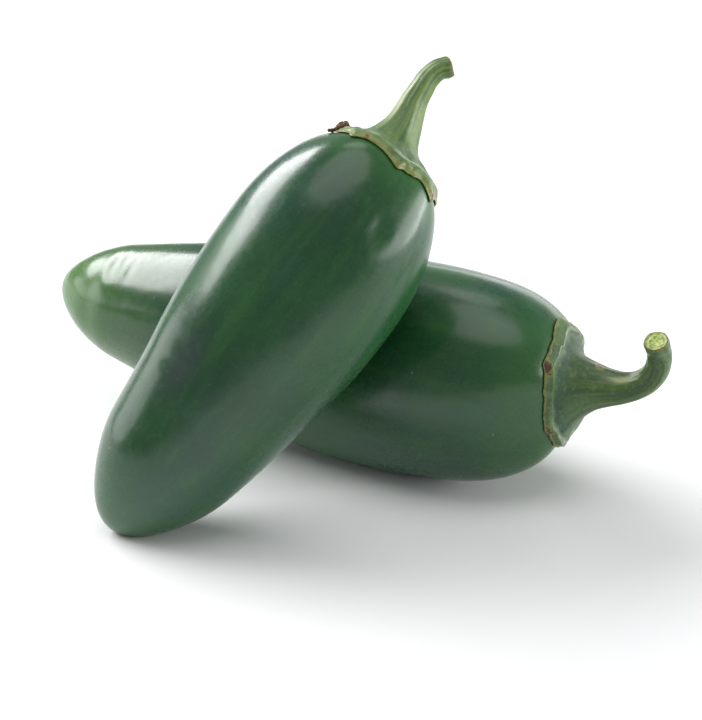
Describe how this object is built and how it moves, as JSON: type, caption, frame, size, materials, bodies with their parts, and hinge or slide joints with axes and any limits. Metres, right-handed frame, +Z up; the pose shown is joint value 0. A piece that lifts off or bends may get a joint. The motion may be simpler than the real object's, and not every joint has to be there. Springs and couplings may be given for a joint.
{
  "type": "fresh jalapeno peppers",
  "caption": "Fresh green jalapeno peppers with calyx and stem: one lies flat, the other leans over it on its blossom tip.",
  "frame": {"origin": "middle of the footprint, on the floor that the peppers rest on", "axes": "+Z up, +X along the width of the pair towards the lying pepper's stem, -Y towards the viewer"},
  "size_m": [0.1042, 0.0702, 0.071],
  "materials": {
    "pod_skin": "waxy gloss",
    "stem_green": "matte"
  },
  "bodies": {
    "root": {"rear_pod": "pod_skin", "rear_stem_with_calyx": "stem_green", "front_pod": "pod_skin", "front_stem_with_calyx": "stem_green"}
  },
  "joints": []
}
